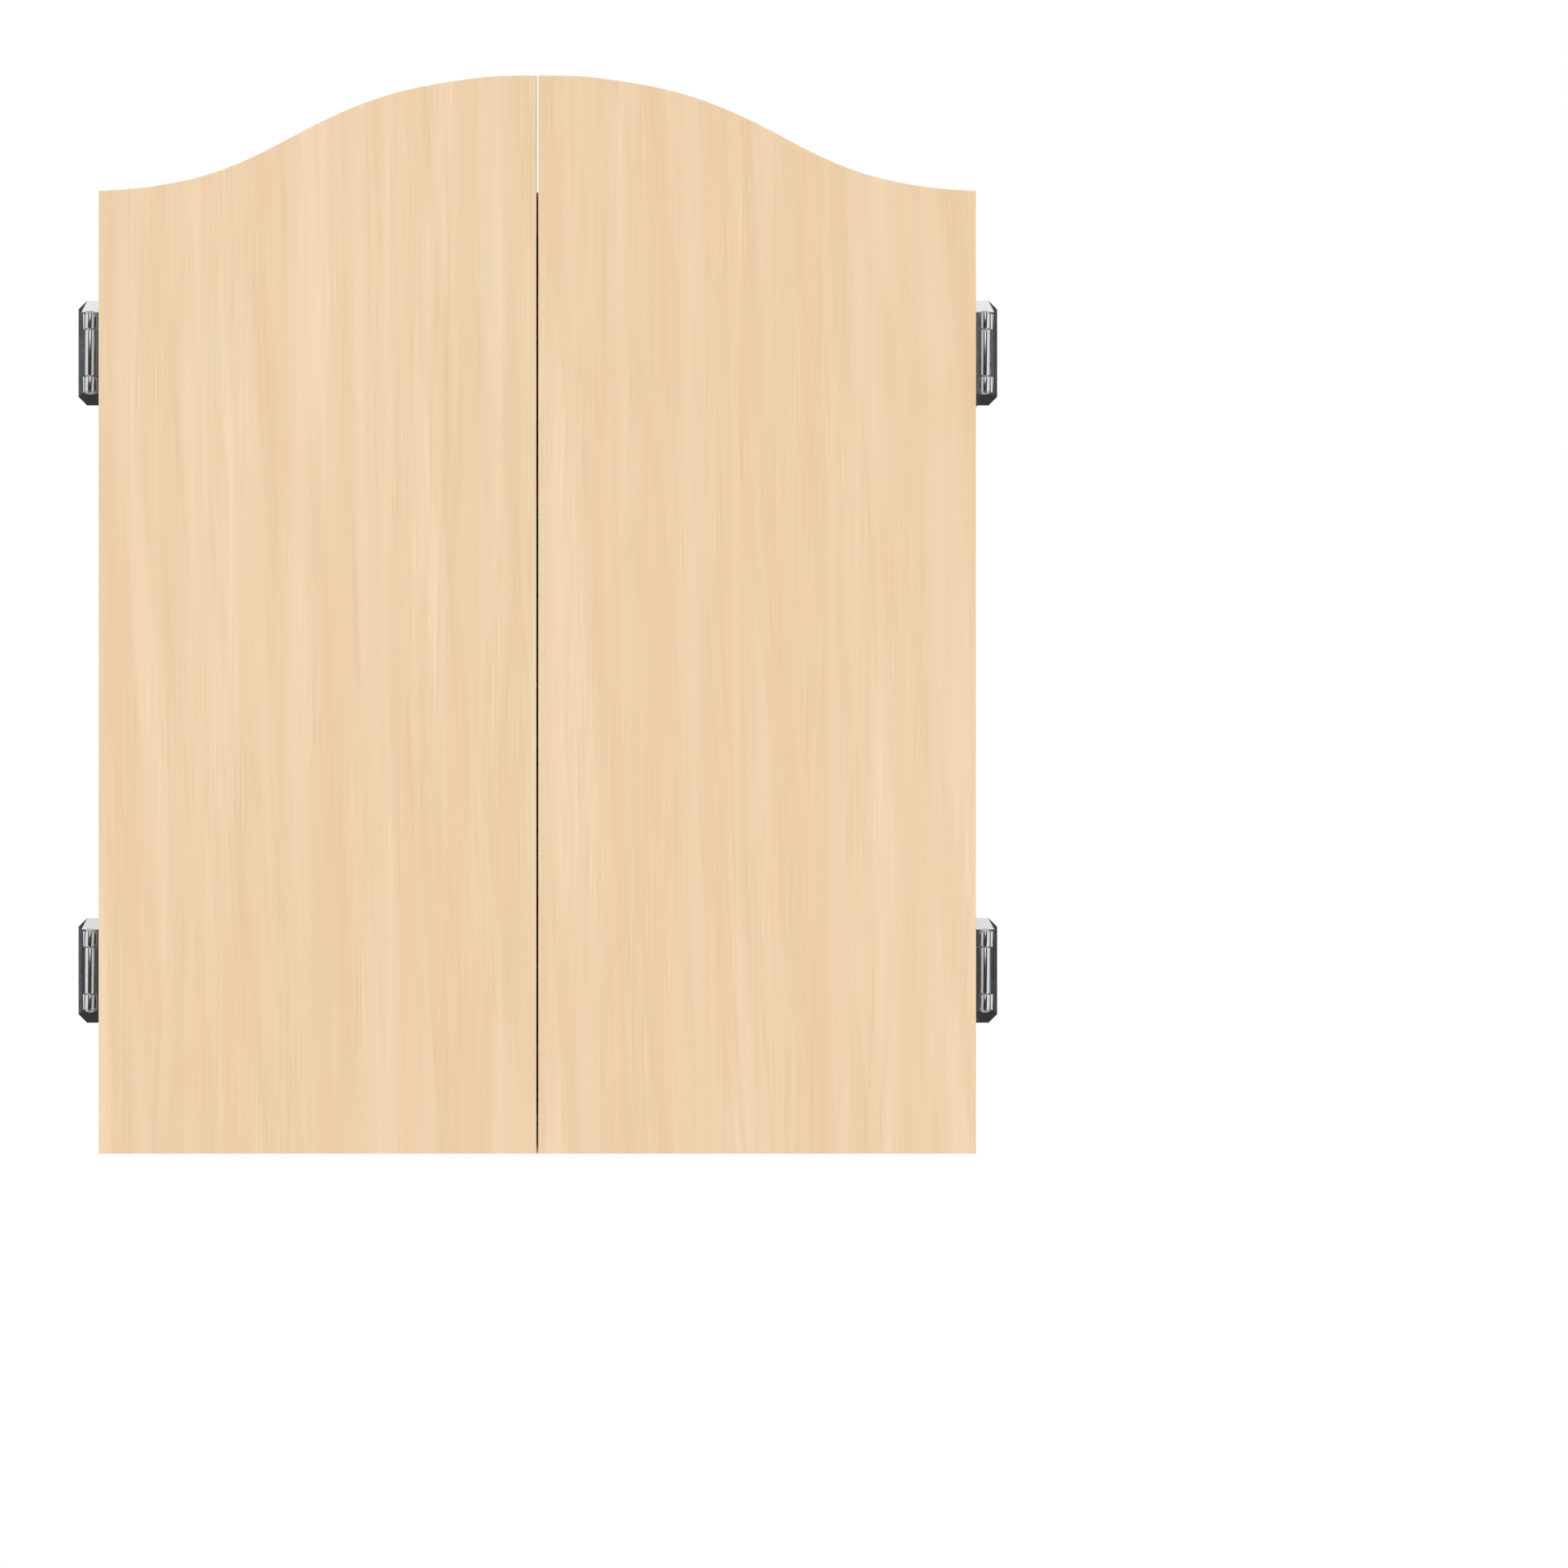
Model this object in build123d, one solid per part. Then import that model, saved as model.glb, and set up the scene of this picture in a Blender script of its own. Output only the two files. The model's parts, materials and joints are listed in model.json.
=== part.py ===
from build123d import *

# Wall-hung dart board cabinet with its dart board, millimetres.
#
# Frame: origin on the wall plane (the back face of the back panel), straight behind the bull.
# +X is the right-hand side seen from the room, +Y points into the wall, +Z is up. The room is at -Y.
#
# The carcass is a shallow rebated box of four foil-covered boards round a back panel. Two doors with a
# shared arched top hang on four projecting hinges and open flat, 180 degrees. The board hangs on a
# U-shaped steel bracket by one dome-headed screw, so it lifts a little and turns on that screw.
# Every sub-part is its own node in parts/.

import math
import os

os.makedirs("parts", exist_ok=True)

# ------------------------------------------------------------------ driving dimensions
CAB_W = 510.0  # outside width of the carcass and of the closed pair of doors
CAB_H = 560.0  # height of the carcass
CAB_D = 72.0  # depth of the carcass
BOARD_T = 12.0  # thickness of the carcass boards and of the doors
BACK_T = 6.0  # back panel
REBATE_W = 7.0  # rebate that the back panel sits in
DOOR_GAP = 1.5  # air between the carcass's front edges and the doors
CENTRE_GAP = 1.2  # air between the two doors
DOOR_FOOT = 0.5  # how far the doors stop above the carcass's underside
EDGE_R = 0.7  # eased edge round each door's faces

# arched top of the left door: (x, z) from the outer shoulder to the middle of the cabinet
ARCH = [
    (-255.0, 280.2),
    (-222.0, 283.0),
    (-188.9, 290.5),
    (-160.0, 302.4),
    (-132.3, 317.0),
    (-104.0, 329.9),
    (-75.7, 338.9),
    (-37.9, 345.5),
    (-CENTRE_GAP / 2, 347.2),
]

HINGE_Z = (186.4, -173.2)  # middles of the upper and lower hinges
HINGE_OFF = 5.4  # hinge axis outside the carcass's side
HINGE_R = 3.3  # knuckle
PIN_R = 1.5
RUN = 0.05  # running clearance on a pin
LEAF_T = 1.3
PLATE_H = 61.0  # fixed hinge plate
LEAF_H = 58.0  # moving leaf, let into the door's edge
KNUCKLE_MID = 13.4  # half height of the middle knuckle
KNUCKLE_END = 22.8  # half height of the whole barrel
KNUCKLE_GAP = 0.45
KNUCKLE_EASE = 0.35  # chamfer on the ends of each knuckle
FLANGE_OUT = 12.6  # how far the fixed hinge plate's front flange stands out from the side

WALL_HOLE_R = 3.0
WALL_X, WALL_Z = 205.0, 225.0  # wall screw holes

DISC_R = 225.5  # dart board, outside the steel band
DISC_BACK = -14.0  # back face of the board's backing
BACKING_T = 9.0
DISC_FACE = -52.0  # playing face
FACE_T = 1.5  # dyed face layer
LIFT = 12.0

R_BULL, R_OUTER_BULL = 6.5, 17.5
R_TREBLE_IN, R_TREBLE_OUT = 96.9, 107.2
R_DOUBLE_IN, R_DOUBLE_OUT = 160.9, 171.3
R_RADIAL_START, R_RADIAL_END = 15.4, 181.0
R_NUMBER_RING = 219.2
RING_WIRE_R, DIGIT_WIRE_R, DIGIT_H = 1.3, 1.1, 24.0
WIRE_R, RADIAL_R = 0.75, 0.7

SX = CAB_W / 2
SZ = CAB_H / 2
IX = SX - BOARD_T  # inside half width
IZ = SZ - BOARD_T
DOOR_BACK = -CAB_D - DOOR_GAP
DOOR_FRONT = DOOR_BACK - BOARD_T
AXIS_X = -(SX + HINGE_OFF)
AXIS_Y = (DOOR_BACK + DOOR_FRONT) / 2


# ------------------------------------------------------------------ helpers
def box(x0, x1, y0, y1, z0, z1):
    """Box between two corners."""
    return Pos((x0 + x1) / 2, (y0 + y1) / 2, (z0 + z1) / 2) * Box(
        abs(x1 - x0), abs(y1 - y0), abs(z1 - z0)
    )


def cyl(radius, start, direction, length):
    """Cylinder from a point along a direction."""
    return extrude(
        Plane(origin=start, z_dir=direction) * Circle(radius), amount=length
    )


def turned(profile, start, direction):
    """Solid of revolution: profile is a closed list of (radius, distance along direction)."""
    pl = Plane(origin=start, z_dir=direction)
    face = make_face(Polyline(*[(r, 0, a) for r, a in profile], close=True))
    return pl * revolve(face, axis=Axis.Z)


def cross_recess(start, direction, size, depth):
    """Cutter for a cross-head driver, into a head whose top is at start."""
    pl = Plane(origin=start, z_dir=direction)
    a = Box(size, size * 0.24, depth * 2)
    b = Box(size * 0.24, size, depth * 2)
    return pl * (a + b)


def flat_screw(top, inward, head_r, shank_r, length):
    """Countersunk wood screw: its flat head's top face is at top, its point lies inward."""
    cone = head_r - shank_r
    body = turned(
        [(0, 0), (head_r, 0), (head_r, 0.25), (shank_r, 0.25 + cone), (shank_r, length - shank_r * 1.6), (0, length)],
        top,
        inward,
    )
    return body - cross_recess(top, inward, head_r * 1.15, 1.0)


def flat_hole(top, inward, head_r, shank_r, length):
    """The countersunk pilot hole that a flat_screw fits with 0.05 mm to spare."""
    e = 0.05
    cone = head_r - shank_r
    return turned(
        [
            (0, -1.0),
            (head_r + e, -1.0),
            (head_r + e, 0.25 + e),
            (shank_r + e, 0.25 + e + cone),
            (shank_r + e, length + 0.3),
            (0, length + 0.3),
        ],
        top,
        inward,
    )


def pan_screw(seat, inward, head_r, head_h, shank_r, length):
    """Domed-head wood screw: the underside of its head is at seat."""
    body = turned(
        [
            (0, -head_h),
            (head_r * 0.55, -head_h * 0.93),
            (head_r * 0.85, -head_h * 0.62),
            (head_r, -head_h * 0.2),
            (head_r, 0),
            (shank_r, 0),
            (shank_r, length - shank_r * 1.6),
            (0, length),
        ],
        seat,
        inward,
    )
    tip = tuple(s - d * head_h for s, d in zip(seat, inward))
    return body - cross_recess(tip, inward, head_r * 1.0, head_h * 0.55)


def pan_hole(seat, inward, shank_r, length):
    e = 0.05
    start = tuple(s - d * 0.5 for s, d in zip(seat, inward))
    return cyl(shank_r + e, start, inward, length + 0.8)


def flip(shape):
    return mirror(shape, about=Plane.YZ)


def cut_all(shape, cutters):
    for c in cutters:
        shape = shape - c
    return shape


def save(name, *shapes):
    solids = []
    for s in shapes:
        solids.extend(s.solids())
    out = solids[0] if len(solids) == 1 else Compound(children=solids)
    out.label = name
    export_step(out, f"parts/{name}.step")


XP, XM, YP, YM, ZP, ZM = (1, 0, 0), (-1, 0, 0), (0, 1, 0), (0, -1, 0), (0, 0, 1), (0, 0, -1)

# ------------------------------------------------------------------ carcass
dowel_l, dowel_r = 25.0, 3.0
dowel_y = (-22.0, -54.0)
dowels, dowel_cuts = [], []
for sx in (-1, 1):
    for sz in (-1, 1):
        for y in dowel_y:
            x0 = sx * (IX + 7.0)
            z = sz * (IZ + BOARD_T / 2)
            direction = (-sx, 0, 0)
            dowels.append(
                turned(
                    [(0, 0), (dowel_r - 0.5, 0), (dowel_r, 0.6), (dowel_r, dowel_l - 0.6), (dowel_r - 0.5, dowel_l), (0, dowel_l)],
                    (x0, y, z),
                    direction,
                )
            )
            dowel_cuts.append(cyl(dowel_r + 0.05, (x0 + sx * 0.5, y, z), direction, dowel_l + 1.0))
save("corner_dowels", *dowels)

back_fix = []
for sx in (-1, 1):
    for z in (-215.0, 0.0, 215.0):
        back_fix.append((sx * (IX + REBATE_W / 2), 0.0, z))
for sz in (-1, 1):
    for x in (-150.0, 0.0, 150.0):
        back_fix.append((x, 0.0, sz * (IZ + REBATE_W / 2)))
save("back_panel_screws", *[flat_screw(p, YM, 2.6, 1.2, 17.0) for p in back_fix])
back_cuts = [flat_hole(p, YM, 2.6, 1.2, 17.0) for p in back_fix]

side = box(-SX, -IX, -CAB_D, 0, -SZ, SZ) - box(
    -IX - REBATE_W, -IX, -BACK_T, 0, -IZ - REBATE_W, IZ + REBATE_W
)
# fixed hinge plates are screwed to the side's outer face, three screws each
PLATE_SCREW_Y = -60.0
plate_screw_at = [(-SX - LEAF_T, PLATE_SCREW_Y, hz + dz) for hz in HINGE_Z for dz in (-20.0, 0.0, 20.0)]
plate_screws = [flat_screw(p, XP, 2.7, 1.3, 11.0) for p in plate_screw_at]
plate_cuts = [flat_hole(p, XP, 2.7, 1.3, 11.0) for p in plate_screw_at]

left_side = cut_all(side, [c for c in dowel_cuts if c.center().X < 0] + [c for c in back_cuts if c.center().X < -IX] + plate_cuts)
right_side = cut_all(
    flip(side),
    [c for c in dowel_cuts if c.center().X > 0] + [c for c in back_cuts if c.center().X > IX] + [flip(c) for c in plate_cuts],
)
save("left_side_panel", left_side)
save("right_side_panel", right_side)

top = box(-IX, IX, -CAB_D, 0, IZ, SZ) - box(-IX, IX, -BACK_T, 0, IZ, IZ + REBATE_W)
bottom = box(-IX, IX, -CAB_D, 0, -SZ, -IZ) - box(-IX, IX, -BACK_T, 0, -IZ - REBATE_W, -IZ)

# magnetic catches, one under the top panel and one on the bottom panel
CATCH_W, CATCH_H, CATCH_BACK, CATCH_FRONT = 64.0, 12.5, -56.0, -71.9
housings, magnets, catch_screws, catch_cuts_top, catch_cuts_bottom = [], [], [], [], []
for sz in (1, -1):
    h = box(-CATCH_W / 2, CATCH_W / 2, CATCH_FRONT, CATCH_BACK, sz * (IZ - CATCH_H), sz * IZ)
    h = fillet(h.edges().filter_by(Axis.Y), 1.5)
    for sx in (-1, 1):
        x0, x1 = sx * 10.0, sx * 24.0
        za, zb = sz * (IZ - 10.5), sz * (IZ - 2.5)
        h = h - box(x0, x1, CATCH_FRONT - 1, -62.0, za, zb)
        magnets.append(
            box(x0 + sx * 0.05, x1 - sx * 0.05, -72.05, -62.05, za + sz * 0.05, zb - sz * 0.05)
        )
        seat = (sx * 28.0, -64.0, sz * (IZ - CATCH_H))
        inward = (0, 0, sz)
        catch_screws.append(pan_screw(seat, inward, 2.6, 1.7, 1.3, 20.0))
        hole = pan_hole(seat, inward, 1.3, 20.0)
        h = h - hole
        (catch_cuts_top if sz > 0 else catch_cuts_bottom).append(hole)
    housings.append(h)
save("catch_housings", *housings)
save("catch_magnets", *magnets)
save("catch_screws", *catch_screws)

top = cut_all(top, [c for c in dowel_cuts if c.center().Z > 0] + [c for c in back_cuts if c.center().Z > IZ] + catch_cuts_top)
bottom = cut_all(
    bottom, [c for c in dowel_cuts if c.center().Z < 0] + [c for c in back_cuts if c.center().Z < -IZ] + catch_cuts_bottom
)
save("top_panel", top)
save("bottom_panel", bottom)

# ------------------------------------------------------------------ U bracket for the board
BR_T = 1.5
BR_FRONT = -13.0
SLOT_R = 3.25
SHANK_R = 2.5
bridge = box(-18.0, 18.0, BR_FRONT, BR_FRONT + BR_T, -22.0, 12.0)
wall_l = box(-18.0, -18.0 + BR_T, BR_FRONT, -BACK_T, -22.0, 12.0)
flange_l = box(-34.0, -18.0 + BR_T, -BACK_T - BR_T, -BACK_T, -22.0, 12.0)
bracket = bridge + wall_l + flip(wall_l) + flange_l + flip(flange_l)
slot_z = SLOT_R - SHANK_R - RUN
bracket = bracket - cyl(SLOT_R, (0, BR_FRONT - 1, slot_z), YP, BR_T + 2)
bracket = bracket - box(-SLOT_R, SLOT_R, BR_FRONT - 1, BR_FRONT + BR_T + 1, slot_z, 20.0)
lead = extrude(
    Plane.XZ.offset(-BR_FRONT + 1)
    * make_face(Polyline((-SLOT_R, 7.0), (SLOT_R, 7.0), (7.5, 12.5), (-7.5, 12.5), close=True)),
    amount=-(BR_T + 2),
)
bracket = bracket - lead
bracket_at = [(sx * 27.0, -BACK_T - BR_T, z) for sx in (-1, 1) for z in (-15.0, 5.0)]
bracket_screws = [pan_screw(p, YP, 3.6, 2.2, 1.9, 6.8) for p in bracket_at]
bracket_cuts = [pan_hole(p, YP, 1.9, 6.8) for p in bracket_at]
bracket = cut_all(bracket, bracket_cuts)
save("board_bracket", bracket)
save("bracket_screws", *bracket_screws)

back = box(
    -IX - REBATE_W, IX + REBATE_W, -BACK_T, 0, -IZ - REBATE_W, IZ + REBATE_W
)
wall_holes = [cyl(WALL_HOLE_R, (sx * WALL_X, 1, sz * WALL_Z), YM, BACK_T + 2) for sx in (-1, 1) for sz in (-1, 1)]
back = cut_all(back, wall_holes + back_cuts + bracket_cuts)
save("back_panel", back)

# ------------------------------------------------------------------ hinges
def knuckle(z0, z1):
    """One knuckle of the barrel, its ends eased."""
    r, e = HINGE_R, KNUCKLE_EASE
    return turned([(0, z0), (r - e, z0), (r, z0 + e), (r, z1 - e), (r - e, z1), (0, z1)], (AXIS_X, AXIS_Y, 0), ZP)


def coined(part, x, z, nx, nz, y, width, angle):
    """part with one border of its front face pressed down: a plane that tips back outward along (nx, nz)."""
    a = math.radians(angle)
    at = Plane(
        origin=(x - nx * width, y, z - nz * width),
        z_dir=(math.sin(a) * nx, -math.cos(a), math.sin(a) * nz),
    )
    return part - at * Box(240, 240, 20, align=(Align.CENTER, Align.CENTER, Align.MIN))


def fixed_plate(z):
    """Front flange with a coined border, side flange and the barrel's two end knuckles."""
    x_out, x_in = -SX - FLANGE_OUT, -SX
    y0, y1 = DOOR_BACK + 0.2, -CAB_D
    half, cut = PLATE_H / 2, 5.0
    front = extrude(
        Plane.XZ.offset(-y0)
        * make_face(
            Polyline(
                (x_in, z - half),
                (x_out + cut, z - half),
                (x_out, z - half + cut),
                (x_out, z + half - cut),
                (x_out + cut, z + half),
                (x_in, z + half),
                close=True,
            )
        ),
        amount=-(y1 - y0),
    )
    y_back = -49.0
    side_flange = extrude(
        Plane.YZ.offset(-SX - LEAF_T)
        * make_face(
            Polyline(
                (y0, z - half),
                (y_back - cut, z - half),
                (y_back, z - half + cut),
                (y_back, z + half - cut),
                (y_back - cut, z + half),
                (y0, z + half),
                close=True,
            )
        ),
        amount=LEAF_T,
    )
    part = front + side_flange
    s = math.sqrt(0.5)
    part = coined(part, x_in - 6.0, z + half, 0, 1, y0, 6.6, 5.0)
    part = coined(part, x_in - 6.0, z - half, 0, -1, y0, 6.6, 5.0)
    part = coined(part, x_out + cut / 2, z + half - cut / 2, -s, s, y0, 2.4, 14.0)
    part = coined(part, x_out + cut / 2, z - half + cut / 2, -s, -s, y0, 2.4, 14.0)
    part = coined(part, x_out, z, -1, 0, y0, 1.9, 16.0)
    tab_out = AXIS_X - HINGE_R
    for a, b in ((KNUCKLE_MID + KNUCKLE_GAP, KNUCKLE_END), (-KNUCKLE_END, -KNUCKLE_MID - KNUCKLE_GAP)):
        part = part + box(tab_out, tab_out + LEAF_T, AXIS_Y, y0 + 0.6, z + a, z + b)
        # the tab turns out of the flange on an inside radius
        root = 1.6
        bend = box(tab_out - root, tab_out, y0 - root, y0 + 0.5, z + a, z + b)
        part = part + (bend - cyl(root, (tab_out - root, y0 - root, z + a - 1), ZP, b - a + 2))
        part = part + knuckle(z + a, z + b)
    part = part - cyl(PIN_R + 0.01, (AXIS_X, AXIS_Y, z - 40), ZP, 80)
    return part


def moving_leaf(z):
    """Plate let into the door's edge, with the barrel's middle knuckle on a web behind the barrel."""
    y0, y1 = DOOR_FRONT + 2.2, DOOR_BACK - 0.3
    part = box(-SX, -SX + LEAF_T, y0, y1, z - LEAF_H / 2, z + LEAF_H / 2)
    part = part + knuckle(z - KNUCKLE_MID, z + KNUCKLE_MID)
    part = part + box(AXIS_X, -SX + LEAF_T, AXIS_Y + HINGE_R - LEAF_T, AXIS_Y + HINGE_R, z - KNUCKLE_MID, z + KNUCKLE_MID)
    part = part - cyl(PIN_R + RUN, (AXIS_X, AXIS_Y, z - 40), ZP, 80)
    return part


def leaf_recess(z):
    """The shallow pocket in the door's edge that the moving leaf lies in. It stops short of the door's face."""
    return box(-SX - 2.0, -SX + LEAF_T, DOOR_FRONT + 2.15, DOOR_BACK + 2.0, z - LEAF_H / 2 - 0.05, z + LEAF_H / 2 + 0.05)


def hinge_pin(z):
    """Pin with a domed head on each end."""
    head_r, head_h, e = HINGE_R - 0.15, 1.7, 0.03
    half = KNUCKLE_END + e
    dome = [(head_r * math.cos(math.radians(v)), head_h * math.sin(math.radians(v))) for v in range(0, 90, 15)]
    return turned(
        [(0, -half - head_h)]
        + [(r, -half - h) for r, h in reversed(dome)]
        + [(PIN_R, -half), (PIN_R, half)]
        + [(r, half + h) for r, h in dome]
        + [(0, half + head_h)],
        (AXIS_X, AXIS_Y, z),
        ZP,
    )


LEAF_SCREW_DZ = 24.5
leaf_screw_at = {hz: [(-SX, AXIS_Y, hz + dz) for dz in (-LEAF_SCREW_DZ, LEAF_SCREW_DZ)] for hz in HINGE_Z}
all_leaf_at = [p for hz in HINGE_Z for p in leaf_screw_at[hz]]
leaf_screws = [flat_screw(p, XP, 2.4, 1.2, 16.0) for p in all_leaf_at]
leaf_cuts = [flat_hole(p, XP, 2.4, 1.2, 16.0) for p in all_leaf_at]

for hz, word in zip(HINGE_Z, ("upper", "lower")):
    plate = cut_all(fixed_plate(hz), [c for c in plate_cuts if abs(c.center().Z - hz) < 40])
    leaf = cut_all(moving_leaf(hz), [c for c in leaf_cuts if abs(c.center().Z - hz) < 40])
    pin = hinge_pin(hz)
    save(f"{word}_left_hinge_plate", plate)
    save(f"{word}_right_hinge_plate", flip(plate))
    save(f"{word}_left_hinge_leaf", leaf)
    save(f"{word}_right_hinge_leaf", flip(leaf))
    save(f"{word}_left_hinge_pin", pin)
    save(f"{word}_right_hinge_pin", flip(pin))
save("hinge_plate_screws", *plate_screws, *[flip(s) for s in plate_screws])
save("left_hinge_leaf_screws", *leaf_screws)
save("right_hinge_leaf_screws", *[flip(s) for s in leaf_screws])

# ------------------------------------------------------------------ doors
door_bottom = -SZ + DOOR_FOOT
outline = Curve() + [
    Spline(*[(x, z) for x, z in ARCH], tangents=[(1, 0.02), (1, 0.0)]),
    Line((ARCH[-1][0], ARCH[-1][1]), (ARCH[-1][0], door_bottom)),
    Line((ARCH[-1][0], door_bottom), (-SX, door_bottom)),
    Line((-SX, door_bottom), (-SX, ARCH[0][1])),
]
door = extrude(Plane.XZ.offset(-DOOR_FRONT) * make_face(outline), amount=-BOARD_T)
try:
    rim = door.faces().sort_by(Axis.Y)[0].edges() + door.faces().sort_by(Axis.Y)[-1].edges()
    eased = fillet(rim, EDGE_R)
    if eased.is_valid:
        door = eased
except Exception as why:
    print("door edges left sharp:", why)

# dry-wipe score board, its frame, the dart rack, strike plates: all screwed to the door's inside face
SB_X0, SB_X1, SB_Z0, SB_Z1 = -232.0, -14.0, -196.0, 236.0
FR_W, FR_T, SHEET_T = 8.0, 4.0, 2.2
frame = box(SB_X0, SB_X1, DOOR_BACK, DOOR_BACK + FR_T, SB_Z0, SB_Z1)
frame = fillet(frame.edges().filter_by(Axis.Y), 3.0)
frame = frame - box(SB_X0 + FR_W, SB_X1 - FR_W, DOOR_BACK - 1, DOOR_BACK + FR_T + 1, SB_Z0 + FR_W, SB_Z1 - FR_W)
sheet = box(
    SB_X0 + FR_W + 0.1, SB_X1 - FR_W - 0.1, DOOR_BACK, DOOR_BACK + SHEET_T, SB_Z0 + FR_W + 0.1, SB_Z1 - FR_W - 0.1
)
mid_x, mid_z = (SB_X0 + SB_X1) / 2, (SB_Z0 + SB_Z1) / 2
frame_fix = [
    (x, DOOR_BACK + FR_T, z)
    for x, z in (
        (SB_X0 + FR_W / 2, SB_Z0 + 14),
        (SB_X1 - FR_W / 2, SB_Z0 + 14),
        (SB_X0 + FR_W / 2, mid_z),
        (SB_X1 - FR_W / 2, mid_z),
        (SB_X0 + FR_W / 2, SB_Z1 - 14),
        (SB_X1 - FR_W / 2, SB_Z1 - 14),
    )
]
# dart rack, low in the corner and below the board: a back plate and a shelf with three open slots
RACK_W, RACK_X, RACK_Z, RACK_T, RACK_D = 90.0, -187.0, -233.0, 6.0, 20.0
SLOT_W, SLOT_PITCH = 7.0, 27.0
rk_y0, rk_y1 = DOOR_BACK, DOOR_BACK + RACK_D
rack_plate = box(RACK_X - RACK_W / 2, RACK_X + RACK_W / 2, rk_y0, rk_y0 + 2.5, RACK_Z - 12.0, RACK_Z + 22.0)
rack_plate = fillet(rack_plate.edges().filter_by(Axis.Y), 5.0)
rack_shelf = box(RACK_X - RACK_W / 2, RACK_X + RACK_W / 2, rk_y0, rk_y1, RACK_Z - RACK_T, RACK_Z)
rack_shelf = fillet(rack_shelf.edges().filter_by(Axis.Z).group_by(Axis.Y)[-1], 5.0)
rack = rack_plate + rack_shelf
for k in (-1, 0, 1):
    cx = RACK_X + k * SLOT_PITCH
    rack = rack - cyl(SLOT_W / 2, (cx, rk_y0 + 10.5, RACK_Z - RACK_T - 1), ZP, RACK_T + 2)
    rack = rack - box(cx - SLOT_W / 2, cx + SLOT_W / 2, rk_y0 + 10.5, rk_y1 + 1, RACK_Z - RACK_T - 1, RACK_Z + 1)
rack_fix = [(RACK_X + s * 33.0, rk_y0 + 2.5, RACK_Z + 12.0) for s in (-1, 1)]
strikes, strike_fix = [], []
for sz in (1, -1):
    s = box(-28.0, -6.0, DOOR_BACK, DOOR_BACK + 1.2, sz * (IZ - 13.5), sz * (IZ - 0.8))
    s = fillet(s.edges().filter_by(Axis.Y), 2.0)
    strikes.append(s)
    strike_fix.append((-17.0, DOOR_BACK + 1.2, sz * (IZ - 7.1)))
INS = dict(head_r=2.3, shank_r=1.1)
inside = [flat_screw(p, YM, INS["head_r"], INS["shank_r"], 9.0) for p in frame_fix + rack_fix + strike_fix]
inside_cuts = [flat_hole(p, YM, INS["head_r"], INS["shank_r"], 9.0) for p in frame_fix + rack_fix + strike_fix]
n_f, n_r = len(frame_fix), len(rack_fix)
frame = cut_all(frame, inside_cuts[:n_f])
rack = cut_all(rack, inside_cuts[n_f : n_f + n_r])
strikes = [s - c for s, c in zip(strikes, inside_cuts[n_f + n_r :])]
bumpers = [
    turned([(0, 0), (4.0, 0), (4.0, 0.9), (3.0, 1.3), (0, 1.3)], (x, DOOR_BACK, sz * (IZ + BOARD_T / 2)), YP)
    for x in (-46.0, -236.0)
    for sz in (1, -1)
]
door = cut_all(door, inside_cuts + [leaf_recess(hz) for hz in HINGE_Z] + leaf_cuts)
for word, f in (("left", lambda s: s), ("right", flip)):
    save(f"{word}_door", f(door))
    save(f"{word}_scoreboard", f(sheet))
    save(f"{word}_scoreboard_frame", f(frame))
    save(f"{word}_dart_rack", f(rack))
    save(f"{word}_inside_screws", *[f(s) for s in inside])
    save(f"{word}_strike_plates", *[f(s) for s in strikes])
    save(f"{word}_door_bumpers", *[f(b) for b in bumpers])

# ------------------------------------------------------------------ dart board
hang_y = -11.2  # underside of the hanger screw's head, just behind the bracket's bridge
hanger = turned(
    [
        (0, 3.0),
        (2.6, 2.8),
        (4.6, 2.0),
        (5.5, 0.8),
        (5.5, 0),
        (SHANK_R, 0),
        (SHANK_R, -19.0),
        (0, -22.5),
    ],
    (0, hang_y, 0),
    YP,
)
save("hanger_screw", hanger)
shank_hole = cyl(SHANK_R + RUN, (0, DISC_BACK + 1, 0), YM, 24.5)


def disc(r_out, y0, y1, r_in=0.0):
    s = cyl(r_out, (0, y0, 0), YM, abs(y1 - y0))
    if r_in:
        s = s - cyl(r_in, (0, y0 + 1, 0), YM, abs(y1 - y0) + 2)
    return s


core_front = DISC_FACE + FACE_T
backing = disc(222.0, DISC_BACK, DISC_BACK - BACKING_T) - shank_hole
core = disc(224.4, DISC_BACK - BACKING_T, core_front) - shank_hole
band = disc(DISC_R, DISC_BACK - 0.6, DISC_FACE + 0.4, 224.5)
surround = disc(224.4, core_front, DISC_FACE, R_DOUBLE_OUT)


def field(r0, r1, k, of=20):
    """One dyed field: ring sector k, centred on the top for k = 0 and counted clockwise from the room."""
    half = math.pi / of
    a0 = math.pi / 2 - k * 2 * half
    pts = [(math.cos(a0 + s * half), math.sin(a0 + s * half)) for s in (-1, 0, 1)]
    p = [(r1 * c, r1 * s) for c, s in pts]
    q = [(r0 * c, r0 * s) for c, s in pts]
    edge = Curve() + [
        ThreePointArc(p[0], p[1], p[2]),
        Line(p[2], q[2]),
        ThreePointArc(q[2], q[1], q[0]),
        Line(q[0], p[0]),
    ]
    return extrude(Plane.XZ.offset(-DISC_FACE) * make_face(edge), amount=-FACE_T)


groups = {"black_fields": [], "cream_fields": [], "red_fields": [], "green_fields": []}
for k in range(20):
    dark = k % 2 == 0
    single, ring = ("black_fields", "red_fields") if dark else ("cream_fields", "green_fields")
    groups[single] += [field(R_OUTER_BULL, R_TREBLE_IN, k), field(R_TREBLE_OUT, R_DOUBLE_IN, k)]
    groups[ring] += [field(R_TREBLE_IN, R_TREBLE_OUT, k), field(R_DOUBLE_IN, R_DOUBLE_OUT, k)]
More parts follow.
